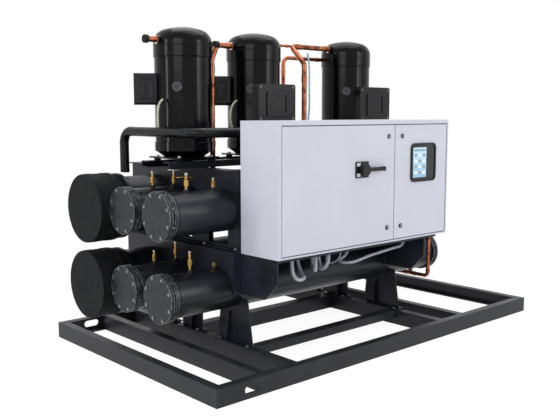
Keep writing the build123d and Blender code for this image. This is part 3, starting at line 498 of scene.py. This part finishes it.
braze, tree, shader = new_material("bright_brazed_ring", "#d8b8a0", 0.3, metallic=1.0)
mottle(tree, shader, "#b98d70", "#ecdccf", 90, (0.22, 0.4))
plugs = bmesh.new()
port_sleeves = bmesh.new()
outlet_rings = bmesh.new()
lugs = bmesh.new()
toward = Vector((-1, -1, 0)).normalized()
outlet_reach = 0.150
for x, outlet_z in zip(compressor_x, (1.524, 1.519, 1.541)):
    port = Vector((x, compressor_y, 1.300)) + toward * 0.170
    turned(port_sleeves, [(-0.030, 0.0215), (-0.029, 0.0232), (-0.013, 0.0232), (-0.012, 0.0215)],
           port, toward, 40)
    turned(plugs, [(-0.014, 0.0235), (0.001, 0.0248), (0.004, 0.0235), (0.004, 0.008), (0.001, 0.006)],
           port, toward, 12)
    turned(outlet_rings, [(-0.003, 0.0142), (-0.003, 0.0185), (0.0025, 0.0205), (0.0025, 0.0142)],
           (x - outlet_reach, compressor_y, outlet_z), (-1, 0, 0), 36)
    for turn, size in ((24, 0.0032), (31, 0.0024), (36, 0.0032)):
        side = Vector((-math.cos(math.radians(turn)), -math.sin(math.radians(turn)), 0))
        turned(lugs, [(-0.004, size), (0.0012, size), (0.0022, size * 0.6)],
               Vector((x, compressor_y, outlet_z)) + side * shell_radius, side, 12)
    for turn in (-42, 138):
        side = Vector((-math.cos(math.radians(turn)), -math.sin(math.radians(turn)), 0))
        turned(lugs, [(-0.020, 0.010), (0.004, 0.010), (0.008, 0.007)],
               Vector((x, compressor_y, 1.556)) + side * 0.112, (side + Vector((0, 0, 0.9))).normalized(), 20)
finished(plugs, "port_plugs", plug_rubber, "chiller", 20)
finished(port_sleeves, "port_sleeves", copper, "chiller")
finished(outlet_rings, "outlet_rings", braze, "chiller")
finished(lugs, "dome_lugs", gloss_enamel, "chiller")

# Electrical boxes: moulded dark plastic covers, gloss with a faint texture, whose moulded
# ridges catch the light, with a small dull screw in each corner of the front ones.
box_plastic, tree, shader = new_material("moulded_black_plastic_gloss", "#121316", 0.3, Specular_IOR_Level=0.25)
grain(tree, shader, mottle(tree, shader, "#0f1012", "#191a1e", 30, (0.24, 0.36)), 0.0015, 0.00012)
boxes = ["front_box_2", "front_box_3", "side_box_1", "side_box_2"]
finish_nodes(box_plastic, *boxes)


def outline(shape, low, high, corner, radius, y):
    """Add a thin rounded frame in an XZ plane, as a moulded ridge whose edge catches light."""
    centres = [(high[0] - corner, high[1] - corner, 0), (low[0] + corner, high[1] - corner, 90),
               (low[0] + corner, low[1] + corner, 180), (high[0] - corner, low[1] + corner, 270)]
    path = [
        (x + corner * math.cos(math.radians(start + step)), z + corner * math.sin(math.radians(start + step)))
        for x, z, start in centres for step in range(0, 91, 18)
    ]
    middle = Vector(((low[0] + high[0]) / 2, (low[1] + high[1]) / 2))
    rings = []
    for x, z in path:
        outward = (Vector((x, z)) - middle).normalized()
        rings.append([
            shape.verts.new((x + outward.x * radius * math.cos(a), y - radius * math.sin(a),
                             z + outward.y * radius * math.cos(a)))
            for a in (math.radians(angle) for angle in range(0, 360, 60))
        ])
    for one, other in zip(rings, rings[1:] + rings[:1]):
        for i in range(6):
            j = (i + 1) % 6
            shape.faces.new((one[i], one[j], other[j], other[i]))


shape = bmesh.new()
ridges = bmesh.new()
for number in (2, 3):
    low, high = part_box(f"front_box_{number}")
    face_y = -0.055
    panel_x = (low[0] + high[0]) / 2 + 0.002
    panel_z = (low[2] + high[2]) / 2 - 0.005
    outline(ridges, (low[0], low[2]), (high[0], high[2]), 0.0135, 0.0014, face_y + 0.001)
    outline(ridges, (panel_x - 0.074, panel_z - 0.064), (panel_x + 0.074, panel_z + 0.064), 0.013, 0.0014,
            face_y - 0.0056)
    outline(ridges, (panel_x - 0.058, panel_z - 0.048), (panel_x + 0.058, panel_z + 0.048), 0.008, 0.0012,
            face_y - 0.0056)
    for step in range(4):
        rib_z = panel_z - 0.030 + step * 0.020
        block(ridges, (panel_x - 0.040, face_y - 0.0034, rib_z - 0.0015), (panel_x + 0.040, face_y - 0.0018,
              rib_z + 0.0015), 0.0006)
    for x in (low[0] + 0.016, high[0] - 0.016):
        for z in (low[2] + 0.016, high[2] - 0.016):
            turned(shape, [(0, 0.0045), (0.0012, 0.0045), (0.0022, 0.0034), (0.0022, 0.0016), (0.001, 0.0012)],
                   (x, face_y, z), (0, -1, 0), 16)
box_turn = math.radians(31)
for number, x in ((1, compressor_x[0]), (2, compressor_x[1])):
    low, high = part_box(f"side_box_{number}")
    outward = Vector((-math.cos(box_turn), math.sin(box_turn), 0))
    across = Vector((-math.sin(box_turn), -math.cos(box_turn), 0))
    middle = Vector((x, compressor_y, (low[2] + high[2]) / 2))
    for reach in (0.226, 0.234):
        for z in (-0.0745, 0.0745):
            ends = [middle + outward * reach + across * side + Vector((0, 0, z)) for side in (-0.044, 0.044)]
            turned(ridges, [(0, 0.0014), ((ends[1] - ends[0]).length, 0.0014)], ends[0], ends[1] - ends[0], 8)
        for side in (-0.0472, 0.0472):
            start = middle + outward * reach + across * side + Vector((0, 0, -0.070))
            turned(ridges, [(0, 0.0014), (0.140, 0.0014)], start, (0, 0, 1), 8)
    for start, end, radius in ((0.155, 0.215, 0.0025), (0.165, 0.205, 0.0016)):
        for z in (-0.045, 0.045):
            place = middle + outward * start + across * 0.048 + Vector((0, 0, z))
            turned(ridges, [(0, radius), (end - start, radius)], place, outward, 8)
        for reach in (start, end):
            place = middle + outward * reach + across * 0.048 + Vector((0, 0, -0.045))
            turned(ridges, [(0, radius), (0.09, radius)], place, (0, 0, 1), 8)
finished(shape, "box_screws", dull_zinc, "chiller")
finished(ridges, "box_ridges", box_plastic, "chiller")

# Cabinet and doors: folded sheet steel in a light lavender-grey powder coat, satin,
# with the coat's fine orange peel.
powder_coat, tree, shader = new_material("light_grey_powder_coat", "#cdcfdb", 0.42)
grain(tree, shader, mottle(tree, shader, "#cbcdd9", "#d0d2de", 4, (0.4, 0.46)), 0.0018, 0.00006)
finish_nodes(powder_coat, "cabinet", "left_door", "right_door")
galvanised, tree, shader = new_material("galvanised_sheet", "#a9adb2", 0.4, metallic=1.0)
mottle(tree, shader, "#979ba1", "#bcc0c5", 45, (0.3, 0.5))
finish_nodes(galvanised, "mounting_plate")

# Locks: black quarter-turn latches beside the split of the doors, two on each door,
# each a round escutcheon with a slotted insert.
black_plastic, tree, shader = new_material("black_moulded_plastic", "#121214", 0.45, Specular_IOR_Level=0.3)
grain(tree, shader, mottle(tree, shader, "#0f0f11", "#18181a", 60, (0.38, 0.52)), 0.001, 0.00008)
door_face_y = -0.566
for body, spots in (
    ("left_door", [(0.018, 1.062), (0.013, 0.605)]),
    ("right_door", [(0.122, 1.062), (0.119, 0.605)]),
):
    shape = bmesh.new()
    inserts = bmesh.new()
    for x, z in spots:
        turned(shape, [(0, 0.0115), (0.003, 0.0115), (0.005, 0.010), (0.005, 0.0072), (0.002, 0.0068)],
               (x, door_face_y, z), (0, -1, 0), 32)
        turned(inserts, [(0.001, 0.0062), (0.0052, 0.0062), (0.0064, 0.0050)],
               (x, door_face_y, z), (0, -1, 0), 24)
        block(shape, (x - 0.0014, door_face_y - 0.0074, z - 0.0048),
              (x + 0.0014, door_face_y - 0.003, z + 0.0048), 0.0005)
    finished(shape, f"{body}_locks", black_plastic, body)
    finished(inserts, f"{body}_lock_inserts", zinc, body)

# Isolator: a black plastic plate with two pale label fields, and a lever handle on a round
# boss.
finish_nodes(black_plastic, "isolator_plate", "isolator_handle", "screen_frame")
label_white, tree, shader = new_material("white_printed_film", "#d9dbe0", 0.4)
mottle(tree, shader, "#d2d4da", "#e0e2e6", 60, (0.35, 0.45))
low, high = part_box("isolator_plate")
plate_face_y = -0.572
shape = bmesh.new()
block(shape, (low[0] + 0.006, plate_face_y - 0.0006, low[2] + 0.006),
      (low[0] + 0.030, plate_face_y + 0.0002, low[2] + 0.022), 0.0002)
block(shape, (low[0] + 0.006, plate_face_y - 0.0006, high[2] - 0.022),
      (low[0] + 0.030, plate_face_y + 0.0002, high[2] - 0.006), 0.0002)
finished(shape, "isolator_labels", label_white, "left_door")

# Screen: a pale backlit display on the black gloss acrylic, set in the rounded black frame,
# with a dark strip to its right; the picture is plain blocks.
low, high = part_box("screen_glass")
bezel, tree, shader = new_material("black_gloss_acrylic", "#14161b", 0.12)
mottle(tree, shader, "#12141a", "#181b21", 20, (0.08, 0.16))
finish_nodes(bezel, "screen_glass")
display, tree, shader = new_material("pale_blue_display", "#a9c6dc", 0.18, Emission_Strength=0.25)
place = add(tree, "ShaderNodeTexCoord").outputs["Object"]
parts = add(tree, "ShaderNodeSeparateXYZ", {0: place})
fade = add(tree, "ShaderNodeMapRange", {"Value": parts.outputs["Z"], "From Min": 0.85, "From Max": 1.0})
tint = add(tree, "ShaderNodeMix", {0: fade.outputs[0], 6: srgb("#8fb6cf"), 7: srgb("#bcd6e6")},
           data_type="RGBA")
tree.links.new(tint.outputs[2], shader.inputs["Base Color"])
tree.links.new(tint.outputs[2], shader.inputs["Emission Color"])
shape = bmesh.new()
display_left, display_right = 0.209, 0.318
display_low, display_high = 0.845, 1.000
glass_y = low[1]
block(shape, (display_left, glass_y - 0.0012, display_low),
      (display_right, glass_y + 0.0005, display_high), 0.0004)
finished(shape, "display", display, "right_door")
picture_dark, tree, shader = new_material("display_teal_blocks", "#5d8ea0", 0.2, Emission_Strength=0.15)
mottle(tree, shader, "#4f8296", "#6f9fb0", 60, (0.18, 0.26))
picture_white, tree, shader = new_material("display_white_blocks", "#dfeaf0", 0.2, Emission_Strength=0.2)
mottle(tree, shader, "#d2e2ea", "#edf4f7", 60, (0.18, 0.26))
dark_blocks = bmesh.new()
white_blocks = bmesh.new()
picture_y = glass_y - 0.0012
block(dark_blocks, (display_left + 0.004, picture_y - 0.0004, display_high - 0.020),
      (display_right - 0.004, picture_y + 0.0002, display_high - 0.008), 0.0001)
for row in range(4):
    line_z = display_low + 0.018 + row * 0.030
    for column in range(3):
        field_x = display_left + 0.010 + column * 0.033
        field = dark_blocks if (row + column) % 2 else white_blocks
        block(field, (field_x, picture_y - 0.0004, line_z),
              (field_x + 0.024, picture_y + 0.0002, line_z + 0.014), 0.0001)
finished(dark_blocks, "display_fields", picture_dark, "right_door")
finished(white_blocks, "display_values", picture_white, "right_door")

# Copper pipes: drawn tube, dulled to brown in patches, with brazed sleeves at the
# joints.
finish_nodes(copper, "discharge_stub", "discharge_pipe_2", "discharge_pipe_3", "return_pipe", "liquid_pipe")
sleeves = bmesh.new()
for place, axis, radius, length in (
    ((-0.452, 0.120, 1.519), (1, 0, 0), 0.016, 0.026),
    ((-0.555, 0.120, 1.395), (0, 0, 1), 0.0158, 0.030),
    ((-0.555, 0.120, 1.020), (0, 0, 1), 0.0158, 0.030),
    ((0.262, 0.120, 1.541), (1, 0, 0), 0.016, 0.026),
    ((0.050, 0.120, 1.541), (1, 0, 0), 0.016, 0.030),
    ((-0.005, 0.016, 1.360), (0, 0, 1), 0.0158, 0.030),
    ((-0.040, 0.120, 1.541), (1, 0, 0), 0.0085, 0.018),
    ((0.330, 0.254, 1.490), (1, 0, 0), 0.0128, 0.022),
    ((0.058, 0.254, 1.410), (0, 0, 1), 0.0128, 0.024),
    ((0.684, -0.324, 0.640), (0, 0, 1), 0.0128, 0.024),
    ((0.684, -0.324, 0.255), (0, 0, 1), 0.0128, 0.022),
    ((0.684, -0.225, 0.224), (0, 1, 0), 0.0128, 0.022),
    ((0.684, -0.165, 0.224), (0, 1, 0), 0.0128, 0.022),
    ((0.684, -0.196, 0.250), (0, 0, 1), 0.0128, 0.022),
):
    turned(sleeves, [(-length / 2, radius - 0.001), (-length / 2 + 0.001, radius), (length / 2 - 0.001, radius),
                     (length / 2, radius - 0.001)], place, axis, 28)
finished(sleeves, "brazed_sleeves", copper, "chiller")

# Stub cap and pipe collar: a black moulded cap on the open stub, and a black foam
# collar at the bend of the second discharge pipe.
shape = bmesh.new()
turned(shape, [(-0.0015, 0.018), (0, 0.0198), (0.018, 0.0198), (0.0205, 0.0165), (0.0205, 0.0146)],
       (-0.952, 0.120, 1.524), (1, 0, 0), 36)
turned(shape, [(0, 0.0148), (0.001, 0.0198), (0.024, 0.0198), (0.025, 0.0148)],
       (-0.540, 0.120, 1.519), (1, 0, 0), 32)
finished(shape, "pipe_collars", rubber, "chiller")

# Suction header: steel pipe under satin black paint, with weld beads at its branches.
pipe_paint, tree, shader = new_material("satin_black_paint_on_pipe", "#0c0d0f", 0.26, Specular_IOR_Level=0.2)
grain(tree, shader, mottle(tree, shader, "#090a0c", "#111215", 9, (0.2, 0.34)), 0.004, 0.0001)
finish_nodes(pipe_paint, "suction_header")
shape = bmesh.new()
for place, axis in (
    ((-0.918, 0.376, 0.905), (0, 0, 1)),
    ((-0.918, 0.376, 1.022), (0, 0, 1)),
    ((-0.918, 0.310, 1.086), (0, 1, 0)),
    ((-0.918, -0.150, 1.086), (0, 1, 0)),
    ((-0.850, -0.216, 1.086), (1, 0, 0)),
    ((-0.500, -0.216, 1.086), (1, 0, 0)),
):
    bead(shape, place, axis, 0.0228, 0.0018)
finished(shape, "header_welds", pipe_paint, "chiller")

# Service valves: brass bodies on steel stems, with a flare cap on top, a square
# shoulder below and a plated T handle on one of them.
brass, tree, shader = new_material("turned_brass", "#b8924e", 0.26, metallic=1.0)
mottle(tree, shader, "#9c7a3c", "#cfae6c", 120, (0.22, 0.42))
finish_nodes(brass, "service_valves")
valve_tops = [
    (-0.939, 0.092, 0.901), (-0.817, 0.092, 0.890), (-0.948, -0.196, 0.909), (-0.795, -0.196, 0.878),
    (-0.938, 0.092, 0.518), (-0.814, 0.092, 0.548), (-0.642, 0.092, 0.562), (-0.934, -0.196, 0.551),
    (-0.795, -0.196, 0.482),
]
caps = bmesh.new()
bosses = bmesh.new()
for x, y, z in valve_tops:
    vessel_top = 0.824 if z > 0.7 else 0.452
    turned(caps, [(-0.010, 0.0062), (-0.009, 0.0075), (-0.001, 0.0075), (0.0005, 0.006)],
           (x, y, z), (0, 0, 1), 6)
    turned(bosses, [(-0.004, 0.0125), (0.008, 0.0125), (0.010, 0.0105), (0.010, 0.006)], (x, y, vessel_top),
           (0, 0, 1), 24)
finished(caps, "valve_caps", nickel, "chiller")
finished(bosses, "valve_bosses", vessel_enamel, "chiller")
shape = bmesh.new()
handle_x, handle_y, handle_z = valve_tops[1]
turned(shape, [(-0.030, 0.0025), (-0.029, 0.0040), (0.029, 0.0040), (0.030, 0.0025)],
       (handle_x, handle_y, handle_z + 0.010), (1, -1, 0), 16)
turned(shape, [(0, 0.0050), (0.012, 0.0050), (0.014, 0.0035)],
       (handle_x, handle_y, handle_z - 0.002), (0, 0, 1), 16)
finished(shape, "valve_handle", nickel, "chiller")

# Small lines: thin brass, natural nylon and clear blue tube between the valves and the
# compressors, stiff enough to keep its shape.
clear_tube, tree, shader = new_material("pale_blue_nylon_tube", "#9fc0d2", 0.3)
mottle(tree, shader, "#8db2c6", "#b3d0de", 60, (0.24, 0.38))
pale_tube, tree, shader = new_material("natural_nylon_tube", "#b9b8a6", 0.34)
mottle(tree, shader, "#a5a492", "#cac9b8", 60, (0.28, 0.42))


def bent_tube(name, points, diameter, finish):
    """A thin stiff tube along a smooth route, as a mesh."""
    route = route_curve(name, points)
    route.data.bevel_depth = diameter / 2
    route.data.bevel_resolution = 3
    route.data.use_fill_caps = True
    route.data.resolution_u = 12
    graph = bpy.context.evaluated_depsgraph_get()
    mesh = bpy.data.meshes.new_from_object(route.evaluated_get(graph), depsgraph=graph)
    curve = route.data
    bpy.data.objects.remove(route)
    bpy.data.curves.remove(curve)
    mesh.materials.clear()
    mesh.materials.append(finish)
    mesh.shade_smooth()
    piece = bpy.data.objects.new(name, mesh)
    bpy.context.collection.objects.link(piece)
    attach(piece, "chiller")


bent_tube("valve_link", [
    (-0.811, 0.086, 0.862), (-0.790, 0.060, 0.866), (-0.800, -0.060, 0.872), (-0.900, -0.150, 0.868),
    (-0.942, -0.188, 0.864),
], 0.006, brass)
bent_tube("level_tube_1", [
    (-0.885, 0.075, 1.240), (-0.912, 0.070, 1.225), (-0.918, 0.070, 1.160), (-0.912, 0.075, 1.090),
    (-0.884, 0.085, 1.066),
], 0.011, pale_tube)
bent_tube("level_tube_2", [
    (-0.430, 0.075, 1.240), (-0.465, 0.070, 1.225), (-0.482, 0.070, 1.160), (-0.462, 0.075, 1.090),
    (-0.430, 0.085, 1.066),
], 0.011, pale_tube)
bent_tube("level_tube_3", [
    (0.020, 0.016, 1.500), (0.030, 0.010, 1.440), (0.024, 0.006, 1.300), (0.032, 0.010, 1.200),
    (0.026, 0.016, 1.140),
], 0.010, clear_tube)

# Studio: a white floor that keeps a soft shadow, white surroundings, a large soft lamp
# overhead, a broad one from the front left and two tall strips that draw the gloss.
floor_white, tree, shader = new_material("white_floor", "#f2f2f4", 0.9)
rays = add(tree, "ShaderNodeLightPath")
seen = add(tree, "ShaderNodeMath", {0: rays.outputs["Is Camera Ray"], 1: rays.outputs["Is Glossy Ray"]},
           operation="MAXIMUM")
seen = add(tree, "ShaderNodeMath", {0: seen.outputs[0], 1: rays.outputs["Is Transmission Ray"]},
           operation="MAXIMUM")
share = add(tree, "ShaderNodeMath", {0: seen.outputs[0], 1: 0.85}, operation="MULTIPLY")
glow = add(tree, "ShaderNodeEmission", {"Color": srgb("#ffffff"), "Strength": 1.1})
mixed = add(tree, "ShaderNodeMixShader", {0: share.outputs[0], 1: shader.outputs[0], 2: glow.outputs[0]})
tree.links.new(mixed.outputs[0], tree.nodes["Material Output"].inputs["Surface"])
floor_mesh = bpy.data.meshes.new("floor")
reach = 30
floor_mesh.from_pydata([(-reach, -reach, 0), (reach, -reach, 0), (reach, reach, 0), (-reach, reach, 0)], [],
                       [(0, 1, 2, 3)])
floor_mesh.materials.append(floor_white)
floor = bpy.data.objects.new("floor", floor_mesh)
bpy.context.collection.objects.link(floor)

world = bpy.data.worlds.new("surroundings")
bpy.context.scene.world = world
world.use_nodes = True
tree = world.node_tree
background = tree.nodes["Background"]
rays = add(tree, "ShaderNodeLightPath")
seen = add(tree, "ShaderNodeMath", {0: rays.outputs["Is Camera Ray"], 1: rays.outputs["Is Glossy Ray"]},
           operation="MAXIMUM")
seen = add(tree, "ShaderNodeMath", {0: seen.outputs[0], 1: rays.outputs["Is Transmission Ray"]},
           operation="MAXIMUM")
strength = add(tree, "ShaderNodeMapRange", {"Value": seen.outputs[0], "To Min": 0.5, "To Max": 1.0})
background.inputs["Color"].default_value = (1, 1, 1, 1)
tree.links.new(strength.outputs[0], background.inputs["Strength"])

for name, place, aim, width, height, power in (
    ("overhead", (0.4, 0.3, 4.2), (0, 0, 0.8), 3.6, 3.0, 80),
    ("front_left", (-4.2, -2.4, 2.6), (-0.2, 0, 0.9), 2.6, 2.2, 58),
    ("front_right", (2.2, -4.6, 2.2), (0.2, 0, 0.8), 2.4, 2.0, 36),
    ("left_strip", (-4.6, 0.9, 1.9), (-0.3, 0.1, 1.2), 0.35, 2.4, 34),
    ("right_strip", (1.6, -4.2, 2.2), (0.2, 0.1, 1.2), 0.3, 2.4, 22),
):
    lamp_data = bpy.data.lights.new(name, "AREA")
    lamp_data.shape = "RECTANGLE"
    lamp_data.size, lamp_data.size_y = width, height
    lamp_data.energy = power
    lamp = bpy.data.objects.new(name, lamp_data)
    lamp.location = place
    lamp.rotation_euler = (Vector(aim) - Vector(place)).to_track_quat("-Z", "Y").to_euler()
    bpy.context.collection.objects.link(lamp)

bpy.context.scene.view_settings.view_transform = "Standard"
